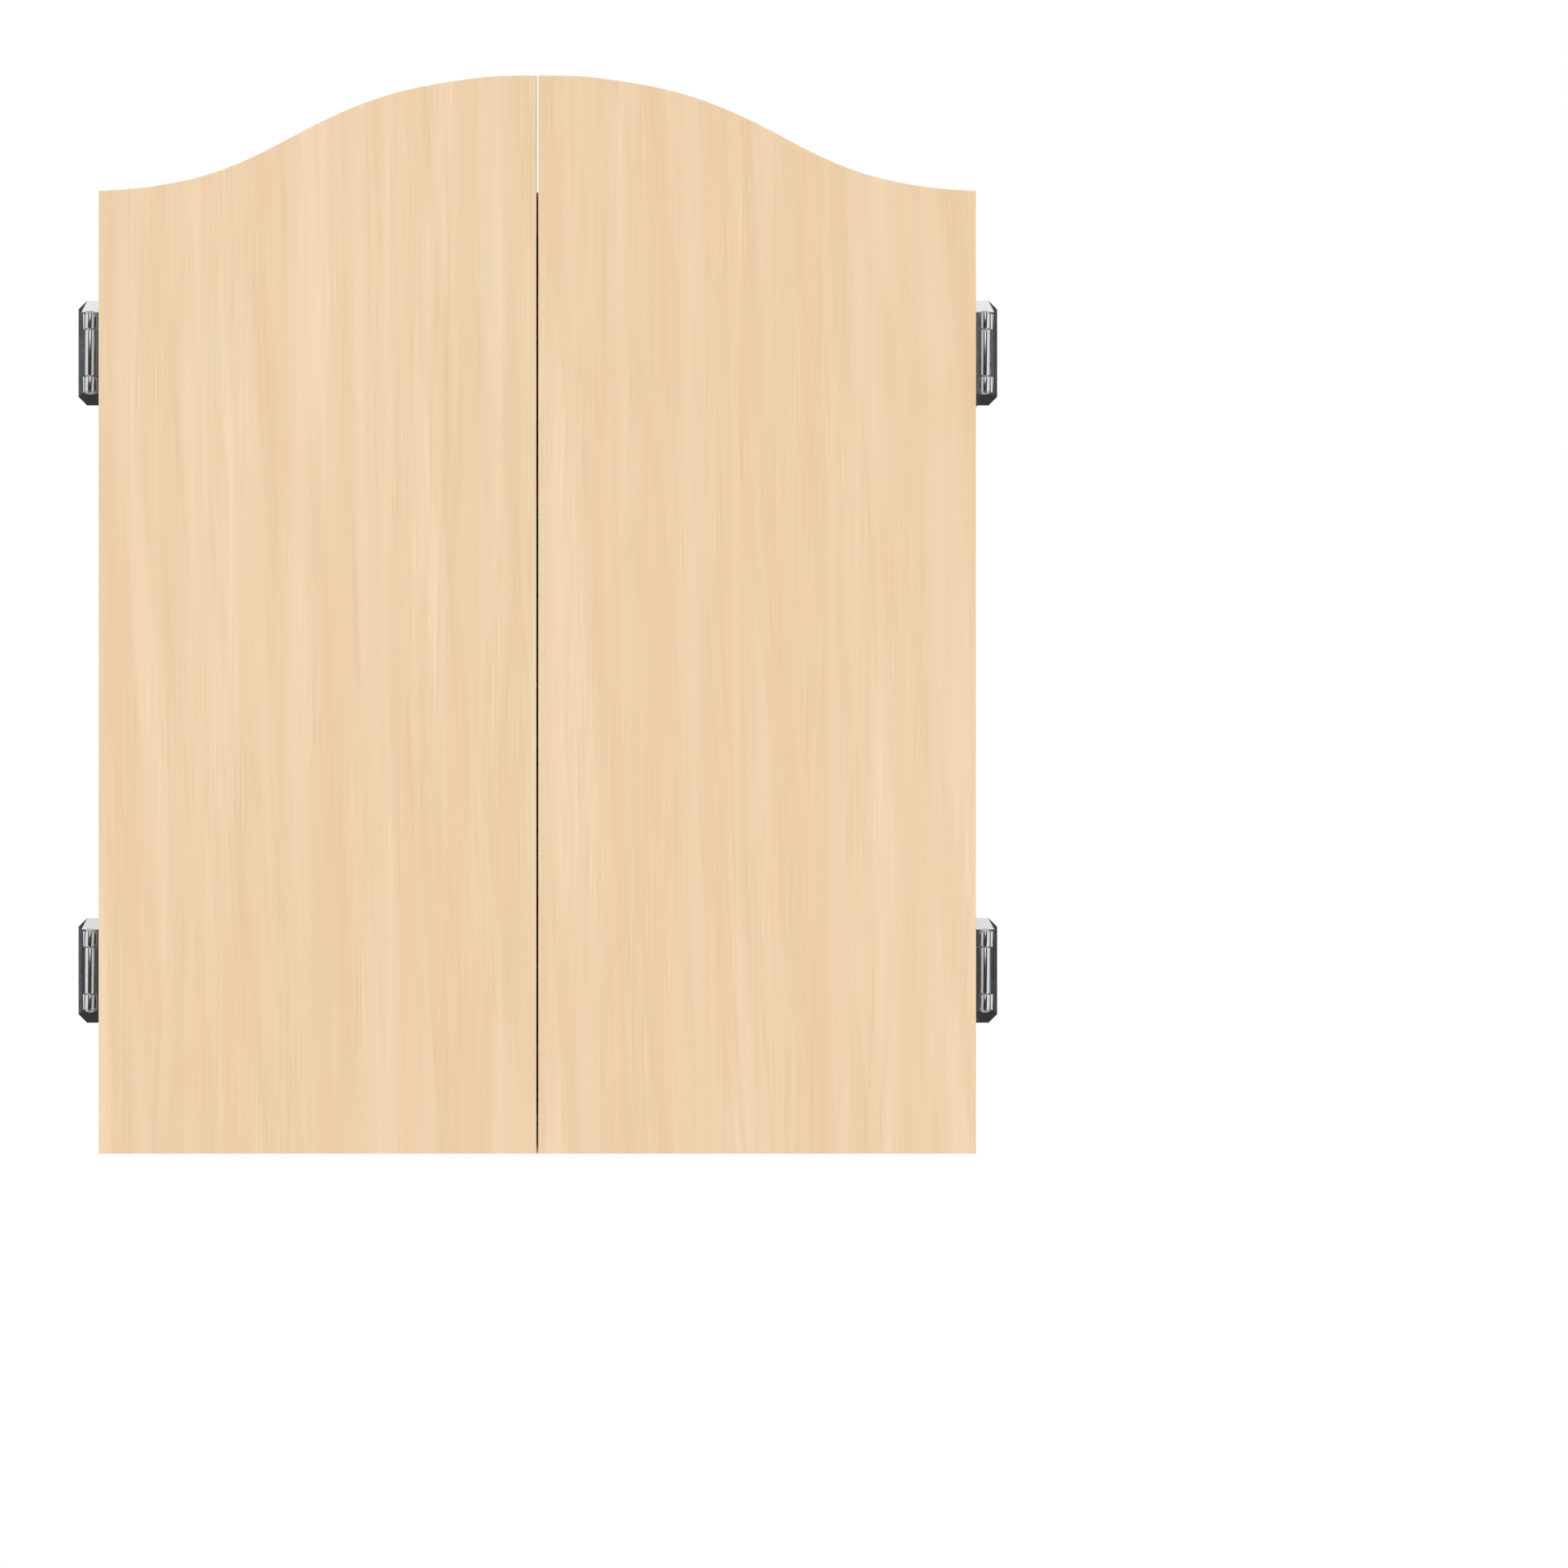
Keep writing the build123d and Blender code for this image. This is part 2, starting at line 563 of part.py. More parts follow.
# the bull's outer ring is dyed with the green fields, and its centre with the red ones
groups["green_fields"].append(disc(R_OUTER_BULL, core_front, DISC_FACE, R_BULL))
groups["red_fields"].append(disc(R_BULL, core_front, DISC_FACE))
for name, members in groups.items():
    save(name, *members)
save("board_backing", backing)
save("board_band", band)

# wires on the face
ring_y = DISC_FACE - WIRE_R - 0.02
rad_y = ring_y - WIRE_R - RADIAL_R - 0.02


def wire_ring(radius, wire_r, y):
    section = Plane.XY * Pos(radius, y, 0) * Circle(wire_r)
    return revolve(section, axis=Axis((0, 0, 0), (0, 1, 0)))


save(
    "spider_rings",
    *[wire_ring(r, WIRE_R, ring_y) for r in (R_TREBLE_IN, R_TREBLE_OUT, R_DOUBLE_IN, R_DOUBLE_OUT)],
)
radials, staples = [], []
for k in range(20):
    a = math.pi / 2 - (k + 0.5) * math.pi / 10
    c, s = math.cos(a), math.sin(a)
    wire = cyl(RADIAL_R, (R_RADIAL_START * c, rad_y, R_RADIAL_START * s), (c, 0, s), R_RADIAL_END - R_RADIAL_START)
    radials.append(wire)
    for r in (102.5, 166.0):
        y = rad_y - RADIAL_R - 0.45 - 0.02
        staples.append(cyl(0.45, (r * c + 1.9 * s, y, r * s - 1.9 * c), (-s, 0, c), 3.8))
save("spider_radials", *radials)
save("spider_staples", *staples)
# the bull's two rings: a wire ring outside, and a thin strip on edge inside
save(
    "bull_rings",
    wire_ring(R_OUTER_BULL, WIRE_R, ring_y),
    disc(R_BULL + 0.5, DISC_FACE - 0.02, DISC_FACE - 1.9, R_BULL - 0.5),
)

num_y = DISC_FACE - RING_WIRE_R - 0.1
digit_y = num_y - RING_WIRE_R - DIGIT_WIRE_R - 0.02
save("number_ring", wire_ring(R_NUMBER_RING, RING_WIRE_R, num_y))

# Each digit is a bent wire: (points, corner radii, closed). u runs to the right, v from the foot (0) to the top.
H = DIGIT_H
PATHS = {
    "0": [([(-4.7, 0), (4.7, 0), (4.7, H), (-4.7, H)], 4.6, True)],
    "1": [([(-4.4, 21.0), (0, 25.0), (0, 0)], 2.0, False)],
    "J": [([(0, H), (0, -1.0), (-4.4, 3.0)], 2.0, False)],
    "2": [([(-4.8, 18.5), (-4.8, H), (4.6, H), (4.6, 14.5), (-4.9, 0), (5.4, 0)], [3.2, 4.4, 4.4, 1.4], False)],
    "3": [([(-4.6, 20.0), (-4.6, H), (4.4, H), (4.4, 12.6), (0.2, 12.6)], [3.4, 4.2, 3.6], False),
          ([(-4.9, 4.2), (-4.9, 0), (4.9, 0), (4.9, 9.9), (1.0, 9.9)], [3.6, 4.4, 3.6], False)],
    "4": [([(2.6, 0), (2.6, 25.0), (-5.4, 6.5), (0.8, 6.5)], [0.9, 1.4], False)],
    "5": [([(4.8, H), (-4.0, H), (-4.0, 13.5), (4.8, 14.5), (4.8, 0), (-4.8, 0.3)], [1.4, 2.4, 4.2, 4.6], False)],
    "6": [([(4.6, 20.5), (4.6, H), (-4.8, H), (-4.8, 0), (4.8, 0), (4.8, 12.5), (-1.6, 12.5)], [2.8, 6.0, 4.6, 4.6, 4.4], False)],
    "7": [([(-4.8, H), (4.8, H), (-1.6, 0)], 1.8, False)],
    "8": [([(-4.3, 13.8), (4.3, 13.8), (4.3, H), (-4.3, H)], 4.2, True),
          ([(-4.9, 0), (4.9, 0), (4.9, 11.2), (-4.9, 11.2)], 4.8, True)],
}
PATHS["9"] = [([(-u, H - v) for u, v in pts], rad, shut) for pts, rad, shut in PATHS["6"]]


def digit(char, angle_deg, offset, outward):
    """Bent wires of one digit. outward: its top points away from the bull."""
    a = math.radians(angle_deg)
    radial, tang = Vector(math.cos(a), 0, math.sin(a)), Vector(math.sin(a), 0, -math.cos(a))
    if outward:
        right, up, base = tang, radial, radial * (R_NUMBER_RING + 0.9 - H)
    else:
        right, up, base = tang * -1, radial * -1, radial * (R_NUMBER_RING + 0.9)
    made = []
    for pts, rad, shut in PATHS[char]:
        at = [base + right * (u + offset) + up * v + Vector(0, digit_y, 0) for u, v in pts]
        path = FilletPolyline(*at, radius=rad, close=shut)
        start = path @ 0
        made.append(sweep(Plane(origin=start, z_dir=path % 0) * Circle(DIGIT_WIRE_R), path=path))
    return made


NUMBERS = [20, 1, 18, 4, 13, 6, 10, 15, 2, 17, 3, 19, 7, 16, 8, 11, 14, 9, 12, 5]
digits = []
for k, n in enumerate(NUMBERS):
    ang = 90 - 18 * k
    outward = not 6 <= k <= 14
    text = str(n)
    gap = 12.4 if len(text) == 2 else 0
    if "1" in text and len(text) == 2:
        gap = 10.6
    for i, ch in enumerate(text):
        off = (i - (len(text) - 1) / 2) * gap
        key = "J" if ch == "1" and not outward else ch
        digits += digit(key, ang, off, outward)
save("number_ring_digits", *digits)

clips, clip_screws = [], []
for q in (45, 135, 225, 315):
    a = math.radians(q)
    pl = Plane(origin=(0, 0, 0), x_dir=(math.sin(a), 0, -math.cos(a)), z_dir=YM)  # x along the rim, y outwards, z to the room
    flip_y = 1 if pl.y_dir.dot(Vector(math.cos(a), 0, math.sin(a))) > 0 else -1
    mid = 215.6
    body = Pos(0, flip_y * mid, -DISC_FACE + 2.9) * Box(23.6, 13.6, 5.76)
    body = chamfer(body.edges().group_by(Axis.Z)[-1], 1.0)
    clip = pl * body
    groove = revolve(
        (Plane.XY * Pos(R_NUMBER_RING, num_y, 0) * (Circle(RING_WIRE_R + 0.08) + Pos(0, 2.0, 0) * Rectangle(2 * RING_WIRE_R + 0.16, 4.0))),
        axis=Axis((0, 0, 0), (0, 1, 0)),
    )
    clip = clip - groove
    seat = Vector(math.cos(a), 0, math.sin(a)) * 212.6 + Vector(0, DISC_FACE - 5.8 + 0.02, 0)
    p = (seat.X, seat.Y, seat.Z)
    clip = clip - flat_hole(p, YP, 2.4, 1.2, 18.0)
    clips.append(clip)
    clip_screws.append(flat_screw(p, YP, 2.4, 1.2, 18.0))
    surround = surround - flat_hole(p, YP, 2.4, 1.2, 18.0)
    core = core - flat_hole(p, YP, 2.4, 1.2, 18.0)
save("number_ring_clips", *clips)
save("clip_screws", *clip_screws)
save("surround_face", surround)
save("sisal_core", core)

pads = []
for q in (90, 210, 330):
    a = math.radians(q)
    pads.append(
        turned(
            [(0, 0), (13.0, 0), (15.0, 1.2), (15.0, 7.7), (0, 7.7)],
            (185 * math.cos(a), -BACK_T - 0.3, 185 * math.sin(a)),
            YM,
        )
    )
save("board_rest_pads", *pads)
print("parts written:", len(os.listdir("parts")))
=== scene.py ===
"""Looks of the wall-hung dart board cabinet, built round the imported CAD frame. Metres, +Z up, the room at -Y."""

import json
import math

import bmesh
import bpy
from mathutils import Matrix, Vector

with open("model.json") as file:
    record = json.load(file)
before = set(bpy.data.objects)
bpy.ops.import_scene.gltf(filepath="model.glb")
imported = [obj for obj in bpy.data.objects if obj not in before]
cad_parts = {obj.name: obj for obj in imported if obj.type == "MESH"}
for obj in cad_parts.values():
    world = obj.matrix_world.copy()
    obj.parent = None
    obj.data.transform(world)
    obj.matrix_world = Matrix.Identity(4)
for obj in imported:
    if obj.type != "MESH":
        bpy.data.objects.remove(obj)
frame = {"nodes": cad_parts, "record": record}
NODES = frame["nodes"]
BODY_OF = {n: b for b, ns in frame["record"]["behaviour"]["bodies"].items() for n in ns}
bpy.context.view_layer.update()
scene = bpy.context.scene
MM = 0.001


# ---------------------------------------------------------------- small shader toolkit
def srgb(r, g, b):
    def lin(v):
        v /= 255.0
        return v / 12.92 if v <= 0.04045 else ((v + 0.055) / 1.055) ** 2.4

    return (lin(r), lin(g), lin(b), 1.0)


class Shader:
    """A material with a Principled shader and short calls for the nodes that feed it."""

    def __init__(self, name, rough=0.5, metal=0.0, **sockets):
        self.mat = bpy.data.materials.new(name)
        self.mat.use_nodes = True
        self.t = self.mat.node_tree
        self.t.nodes.clear()
        self.out = self.n("OutputMaterial")
        self.bsdf = self.n("BsdfPrincipled")
        self.link(self.bsdf.outputs["BSDF"], self.out.inputs["Surface"])
        self.bsdf.inputs["Roughness"].default_value = rough
        self.bsdf.inputs["Metallic"].default_value = metal
        for k, v in sockets.items():
            self.bsdf.inputs[k.replace("_", " ")].default_value = v
        self.co = self.n("TexCoord")

    def n(self, kind, **props):
        node = self.t.nodes.new("ShaderNode" + kind)
        for k, v in props.items():
            setattr(node, k, v)
        return node

    def link(self, a, b):
        self.t.links.new(a, b)

    def put(self, socket, value):
        if isinstance(value, bpy.types.NodeSocket):
            self.link(value, socket)
        elif socket.type == "VECTOR" and len(value) == 4:
            socket.default_value = value[:3]
        else:
            socket.default_value = value

    def mm(self):
        """Object coordinates in millimetres."""
        return self.vec("MULTIPLY", self.co.outputs["Object"], (1000, 1000, 1000))

    def normal_xyz(self):
        s = self.n("SeparateXYZ")
        self.link(self.co.outputs["Normal"], s.inputs[0])
        return s.outputs

    def vec(self, op, a, b=None):
        v = self.n("VectorMath", operation=op)
        self.put(v.inputs[0], a)
        if b is not None:
            self.put(v.inputs[1], b)
        return v.outputs["Value"] if op in ("LENGTH", "DOT_PRODUCT") else v.outputs[0]

    def xyz(self, v):
        s = self.n("SeparateXYZ")
        self.put(s.inputs[0], v)
        return s.outputs

    def join(self, x, y, z):
        c = self.n("CombineXYZ")
        for socket, value in zip(c.inputs, (x, y, z)):
            self.put(socket, value)
        return c.outputs[0]

    def m(self, op, a, b=None, c=None, clamp=False):
        v = self.n("Math", operation=op, use_clamp=clamp)
        for socket, value in zip(v.inputs, (a, b, c)):
            if value is not None:
                self.put(socket, value)
        return v.outputs[0]

    def span(self, v, a, b, lo=0.0, hi=1.0, smooth=True):
        """v mapped from a..b to lo..hi, clamped."""
        r = self.n("MapRange", interpolation_type="SMOOTHSTEP" if smooth else "LINEAR")
        for i, value in enumerate((v, a, b, lo, hi)):
            self.put(r.inputs[i], value)
        return r.outputs[0]

    def noise(self, v, scale=1.0, detail=2.0, rough=0.5, lac=2.0, distort=0.0):
        t = self.n("TexNoise", noise_dimensions="3D")
        self.put(t.inputs["Vector"], v)
        for k, value in (("Scale", scale), ("Detail", detail), ("Roughness", rough), ("Lacunarity", lac), ("Distortion", distort)):
            t.inputs[k].default_value = value
        return t.outputs["Fac"]

    def cells(self, v, scale=1.0, feature="F1", out="Distance", rand=1.0):
        t = self.n("TexVoronoi", feature=feature)
        self.put(t.inputs["Vector"], v)
        t.inputs["Scale"].default_value = scale
        t.inputs["Randomness"].default_value = rand
        return t.outputs[out]

    def mix(self, fac, a, b, mode="MIX"):
        x = self.n("Mix", data_type="RGBA", blend_type=mode, clamp_factor=True)
        self.put(x.inputs[0], fac)
        self.put(x.inputs[6], a)
        self.put(x.inputs[7], b)
        return x.outputs[2]

    def grey(self, v):
        return self.join(v, v, v)

    def times(self, colour, v):
        """colour scaled by the number v."""
        return self.vec("MULTIPLY", colour, self.grey(v))

    def colour(self, c):
        self.put(self.bsdf.inputs["Base Color"], c)

    def rough(self, v):
        self.put(self.bsdf.inputs["Roughness"], v)

    def bump(self, height, strength=0.2, distance=0.0002, base=None):
        b = self.n("Bump")
        b.inputs["Strength"].default_value = strength
        b.inputs["Distance"].default_value = distance
        self.put(b.inputs["Height"], height)
        if base is not None:
            self.link(base, b.inputs["Normal"])
        self.link(b.outputs[0], self.bsdf.inputs["Normal"])
        return b.outputs[0]


# ---------------------------------------------------------------- materials
def wood(name, grain="z", shift=(0.0, 0.0, 0.0), raw_back=False):
    """Pale maple-like foil: soft bands, long streaks, faint cathedral lines, fine pores. grain is the axis it runs along."""
    s = Shader(name, rough=0.46, Specular_IOR_Level=0.38)
    p = s.xyz(s.mm())
    nrm = s.normal_xyz()
    along, across, third = (2, 0, 1) if grain == "z" else (0, 2, 1)
    # faces that look along the grain get their edging's own grain, which runs along the edge
    edge = s.span(s.m("ABSOLUTE", nrm[along]), 0.45, 0.75)
    face = s.join(s.m("ADD", p[across], shift[0]), s.m("ADD", p[third], shift[1]), s.m("ADD", p[along], shift[2]))
    rim = s.join(s.m("ADD", p[third], shift[0] + 37.0), shift[1], s.m("ADD", p[across], shift[2]))
    co = s.mix(edge, face, rim)
    q = s.xyz(co)
    # the lines wander a little
    slow = s.noise(s.vec("MULTIPLY", co, (0.009, 0.009, 0.0022)), detail=2.0)
    quick = s.noise(s.vec("MULTIPLY", co, (0.05, 0.05, 0.0075)), detail=1.0)
    u = s.m("ADD", q[0], s.m("MULTIPLY", s.m("SUBTRACT", slow, 0.5), 13.0))
    u = s.m("ADD", u, s.m("MULTIPLY", s.m("SUBTRACT", quick, 0.5), 2.4))
    g = s.join(u, q[1], q[2])
    lean = s.join(s.m("ADD", u, s.m("MULTIPLY", q[2], 0.062)), q[1], q[2])

    def grain_noise(v, across_scale, along_scale, at, detail=1.5, rough=0.5):
        scaled = s.vec("MULTIPLY", v, (across_scale, across_scale, along_scale))
        return s.noise(s.vec("ADD", scaled, at), detail=detail, rough=rough)

    wide = grain_noise(g, 0.050, 0.0011, (0.0, 0.0, 0.0), 2.0)
    hue = grain_noise(g, 0.075, 0.0020, (31.0, 7.0, 3.0))
    strip = grain_noise(g, 0.17, 0.0026, (5.0, 11.0, 9.0))
    slant = grain_noise(lean, 0.060, 0.0030, (13.0, 3.0, 21.0), 2.5)
    edge_line = grain_noise(lean, 0.30, 0.0048, (41.0, 9.0, 2.0))
    streak = grain_noise(g, 0.62, 0.0075, (2.0, 17.0, 1.0), 2.0)
    fine = grain_noise(g, 2.1, 0.017, (9.0, 2.0, 6.0), 2.0)
    comb = s.span(s.noise(s.vec("MULTIPLY", co, (0.040, 0.040, 0.0075)), detail=1.0), 0.42, 0.62)
    # colours of the bands: light, rosy, straw and a browner one that runs a little across the others
    c = s.mix(s.span(wide, 0.38, 0.62), srgb(243, 217, 180), srgb(238, 208, 168))
    c = s.mix(s.m("MULTIPLY", s.span(hue, 0.44, 0.66), 0.7), c, srgb(236, 211, 170))
    c = s.mix(s.m("MULTIPLY", s.span(strip, 0.54, 0.74), 0.5), c, srgb(240, 206, 168))
    c = s.mix(s.m("MULTIPLY", s.span(slant, 0.48, 0.66), 0.62), c, srgb(235, 203, 162))
    # thin darker lines along the browner bands' sides
    thin = s.m("MULTIPLY", s.span(edge_line, 0.60, 0.72), s.span(slant, 0.40, 0.56))
    # cathedral lines: rings of a leaning trunk, shown only here and there
    rise = s.m("MULTIPLY", s.m("ADD", q[2], 420.0), 0.06)
    rx = s.m("SUBTRACT", s.m("PINGPONG", s.m("ADD", u, 400.0), 104.0), 14.0)
    r = s.m("SQRT", s.m("ADD", s.m("MULTIPLY", rx, rx), s.m("MULTIPLY", rise, rise)))
    ring = s.m("SINE", s.m("ADD", s.m("MULTIPLY", r, 0.95), s.m("MULTIPLY", quick, 6.0)))
    ring = s.m("POWER", s.m("MULTIPLY", s.m("ADD", ring, 1.0), 0.5), 3.0)
    where = s.span(s.noise(s.vec("ADD", s.vec("MULTIPLY", co, (0.026, 0.026, 0.0048)), (3.0, 19.0, 5.0)), detail=1.0), 0.52, 0.68)
    pores = s.span(grain_noise(g, 3.0, 0.11, (4.0, 4.0, 4.0), 1.0), 0.66, 0.76)
    shade = s.m("ADD", 1.0, s.m("MULTIPLY", s.m("SUBTRACT", streak, 0.5), 0.07))
    shade = s.m("ADD", shade, s.m("MULTIPLY", s.m("MULTIPLY", s.m("SUBTRACT", fine, 0.5), 0.17), s.m("ADD", 0.25, comb)))
    shade = s.m("SUBTRACT", shade, s.m("MULTIPLY", thin, 0.022))
    shade = s.m("SUBTRACT", shade, s.m("MULTIPLY", s.m("MULTIPLY", ring, where), 0.026))
    shade = s.m("SUBTRACT", shade, s.m("MULTIPLY", pores, 0.03))
    c = s.times(c, shade)
    warm = s.m("ADD", 1.0, s.m("MULTIPLY", s.m("SUBTRACT", 1.0, shade), 1.4))
    c = s.vec("DIVIDE", c, s.join(1.0, s.m("POWER", warm, 0.35), warm))
    c = s.vec("MULTIPLY", c, (0.905, 0.903, 0.925))
    if raw_back:
        # the wall side of the panel is bare hardboard
        fibre = s.noise(s.vec("MULTIPLY", s.mm(), (0.9, 0.9, 0.9)), detail=6.0, rough=0.7)
        mesh = s.cells(s.vec("MULTIPLY", s.mm(), (0.55, 0.55, 0.55)))
        bare = s.mix(s.span(fibre, 0.35, 0.65), srgb(128, 92, 62), srgb(168, 128, 90))
        bare = s.mix(s.m("MULTIPLY", s.span(mesh, 0.1, 0.5), 0.25), bare, srgb(104, 74, 50))
        outer = s.span(nrm[1], 0.3, 0.6)
        c = s.mix(outer, c, bare)
        s.rough(s.m("ADD", 0.46, s.m("MULTIPLY", outer, 0.35)))
    else:
        s.rough(s.m("ADD", 0.41, s.m("MULTIPLY", streak, 0.12)))
    s.colour(c)
    s.bump(s.m("SUBTRACT", s.m("MULTIPLY", fine, 0.6), pores), strength=0.10, distance=0.00012)
    return s.mat


def metal(name, colour, rough, spread=0.06, brushed=None, scratch=0.0, spec=None):
    s = Shader(name, rough=rough, metal=1.0)
    co = s.mm()
    cloud = s.noise(co, scale=0.22, detail=3.0)
    small = s.noise(co, scale=2.2, detail=3.0)
    s.colour(s.mix(cloud, tuple(v * 0.9 for v in colour[:3]) + (1,), colour))
    s.rough(s.m("ADD", rough - spread / 2, s.m("MULTIPLY", s.m("ADD", s.m("MULTIPLY", cloud, 0.6), s.m("MULTIPLY", small, 0.4)), spread)))
    h = small
    if brushed is not None:
        h = s.noise(s.vec("MULTIPLY", co, brushed), detail=3.0)
    s.bump(h, strength=0.05 + scratch, distance=0.0001)
    return s.mat


def plastic(name, colour, rough=0.45, grain=3.0, depth=0.12):
    s = Shader(name, rough=rough, Specular_IOR_Level=0.45)
    co = s.mm()
    tex = s.noise(co, scale=grain, detail=3.0, rough=0.6)
    cloud = s.noise(co, scale=0.08, detail=2.0)
    s.colour(s.times(colour, s.m("ADD", 0.86, s.m("MULTIPLY", cloud, 0.28))))
    s.rough(s.m("ADD", rough - 0.05, s.m("MULTIPLY", cloud, 0.1)))
    s.bump(tex, strength=depth, distance=0.00015)
    return s.mat


def wire_near(s):
    """How close a point of the board's face is to the spider: 1 against a wire, 0 from about 1.5 mm off. Also r and the wires' distance."""
    p = s.xyz(s.mm())
    r = s.m("SQRT", s.m("ADD", s.m("MULTIPLY", p[0], p[0]), s.m("MULTIPLY", p[2], p[2])))
    turn = s.m("MULTIPLY", s.m("ARCTAN2", p[0], p[2]), 180 / math.pi)
    off = s.m("MULTIPLY", s.m("MULTIPLY", s.m("PINGPONG", s.m("ADD", turn, 351.0), 9.0), math.pi / 180), r)
    spoke = s.m("MULTIPLY", s.span(off, 0.6, 1.9, 1.0, 0.0), s.m("MULTIPLY", s.m("GREATER_THAN", r, 15.2), s.m("LESS_THAN", r, 181.0)))
    near = spoke
    for ring in (17.5, 96.9, 107.2, 160.9, 171.3):
        near = s.m("MAXIMUM", near, s.span(s.m("ABSOLUTE", s.m("SUBTRACT", r, ring)), 0.6, 2.0, 1.0, 0.0))
    return near, r, off


def sisal(name, colour, dark, light, marks, mark_share, mottle=0.12, rough=0.86, spec=0.2, shadow=0.3, notch_shadows=False):
    """End-grain sisal: packed fibre ends, soft mottling, stray fibres, and a painted shade line beside each wire."""
    s = Shader(name, rough=rough, Specular_IOR_Level=spec)
    co = s.mm()
    ends = s.cells(co, scale=2.4)
    fuzz = s.noise(co, scale=1.6, detail=4.0, rough=0.65)
    tuft = s.noise(co, scale=0.55, detail=3.0, rough=0.6)
    blot = s.noise(co, scale=0.055, detail=4.0, rough=0.6)
    c = s.mix(s.m("MULTIPLY", s.span(blot, 0.35, 0.7), 0.8), colour, dark)
    c = s.mix(s.m("MULTIPLY", s.span(tuft, 0.50, 0.80), 0.9), c, light)
    c = s.times(c, s.m("ADD", 1.0 - mottle, s.m("MULTIPLY", s.m("ADD", s.m("MULTIPLY", fuzz, 0.65), s.m("MULTIPLY", ends, 0.6)), mottle * 2)))
    # stray fibres: short thin lines, in two directions, that come and go
    bend = s.vec("ADD", co, s.vec("MULTIPLY", s.grey(s.noise(co, scale=0.16, detail=2.0)), (9, 9, 9)))
    hair = s.cells(s.vec("MULTIPLY", bend, (0.10, 0.10, 0.030)), feature="DISTANCE_TO_EDGE")
    hair2 = s.cells(s.vec("MULTIPLY", bend, (0.036, 0.09, 0.12)), feature="DISTANCE_TO_EDGE")
    line = s.m("MULTIPLY", s.span(hair, 0.004, 0.016, 1.0, 0.0), s.span(s.noise(co, scale=0.11, detail=2.0), 0.52, 0.62))
    line2 = s.m("MULTIPLY", s.span(hair2, 0.004, 0.016, 1.0, 0.0), s.span(s.noise(s.vec("ADD", co, (90, 40, 70)), scale=0.10, detail=2.0), 0.54, 0.64))
    seen = s.span(s.noise(co, scale=0.020, detail=2.0), 0.42, 0.64)
    speck = s.span(s.noise(co, scale=0.75, detail=2.0), 0.69, 0.77)
    amount = s.m("ADD", s.m("MULTIPLY", s.m("MULTIPLY", s.m("MAXIMUM", line, line2), seen), mark_share), s.m("MULTIPLY", speck, mark_share * 0.6), clamp=True)
    c = s.mix(amount, c, marks)
    near, r, off = wire_near(s)
    # painted shade: each field is darkened close to every radial and ring wire of the spider
    c = s.times(c, s.m("SUBTRACT", 1.0, s.m("MULTIPLY", near, shadow)))
    if notch_shadows:
        # painted shadow: dark triangular notches beside the bull, where each radial wire's end goes in
        tooth = s.m("MULTIPLY", s.m("SUBTRACT", r, 13.7), 0.50)
        painted_notch_shade = s.m("MULTIPLY", s.span(s.m("SUBTRACT", off, tooth), -0.25, 0.35, 1.0, 0.0), s.span(r, 13.7, 14.5))
        painted_notch_shade = s.m("MULTIPLY", painted_notch_shade, s.m("LESS_THAN", r, 18.5))
        c = s.mix(s.m("MULTIPLY", painted_notch_shade, 0.85), c, srgb(22, 52, 26))
    s.colour(c)
    s.bump(s.m("ADD", s.m("MULTIPLY", ends, 0.7), s.m("MULTIPLY", fuzz, 1.1)), strength=0.5, distance=0.00022)
    return s.mat


def spider_wire(name, ring_edge_shade=False):
    """Bright drawn wire, a little milky, with a painted highlight along its crown and painted shade on its flanks."""
    s = Shader(name, rough=0.34, metal=0.35, Specular_IOR_Level=0.6)
    co = s.mm()
    cloud = s.noise(co, scale=0.3, detail=3.0)
    c = s.mix(cloud, (0.80, 0.80, 0.81, 1.0), (0.95, 0.95, 0.96, 1.0))
    # painted shade on the wire's flanks and a painted highlight on its crown, set by how far the surface faces the
    # front
    painted_crown_light = s.m("ABSOLUTE", s.normal_xyz()[1])
    c = s.times(c, s.span(painted_crown_light, 0.62, 0.93, 0.16, 1.0))
    if ring_edge_shade:
        # painted shade: dark lines along the bull ring's inner and outer sides
        p = s.xyz(co)
        r = s.m("SQRT", s.m("ADD", s.m("MULTIPLY", p[0], p[0]), s.m("MULTIPLY", p[2], p[2])))
        edge = s.m("MINIMUM", s.m("ABSOLUTE", s.m("SUBTRACT", r, 6.0)), s.m("ABSOLUTE", s.m("SUBTRACT", r, 6.95)))
        c = s.times(c, s.span(edge, 0.05, 0.30, 0.30, 1.0))
    s.colour(c)
    s.rough(s.m("ADD", 0.28, s.m("MULTIPLY", cloud, 0.12)))
    s.bump(s.noise(co, scale=2.5, detail=3.0), strength=0.05, distance=0.0001)
    return s.mat


def rolled_band(name):
    s = Shader(name, rough=0.4, Specular_IOR_Level=0.5)
    co = s.mm()
    n1 = s.noise(s.vec("MULTIPLY", co, (0.05, 0.6, 0.05)), detail=3.0)
    n2 = s.noise(co, scale=0.8, detail=3.0)
    s.colour(s.mix(n1, srgb(20, 20, 21), srgb(31, 31, 32)))
    s.rough(s.m("ADD", 0.33, s.m("MULTIPLY", n2, 0.16)))
    s.bump(n2, strength=0.1, distance=0.0001)
    return s.mat


def chipboard(name):
    s = Shader(name, rough=0.8, Specular_IOR_Level=0.25)
    co = s.mm()
    flake = s.cells(s.vec("MULTIPLY", co, (0.28, 0.28, 0.45)), out="Color")
    tone = s.xyz(flake)[0]
    fine = s.noise(co, scale=1.2, detail=5.0)
    c = s.mix(tone, srgb(150, 116, 78), srgb(196, 163, 118))
    c = s.mix(s.m("MULTIPLY", s.span(fine, 0.5, 0.7), 0.5), c, srgb(98, 70, 44))
    s.colour(c)
    s.bump(s.m("ADD", tone, fine), strength=0.3, distance=0.0003)
    return s.mat


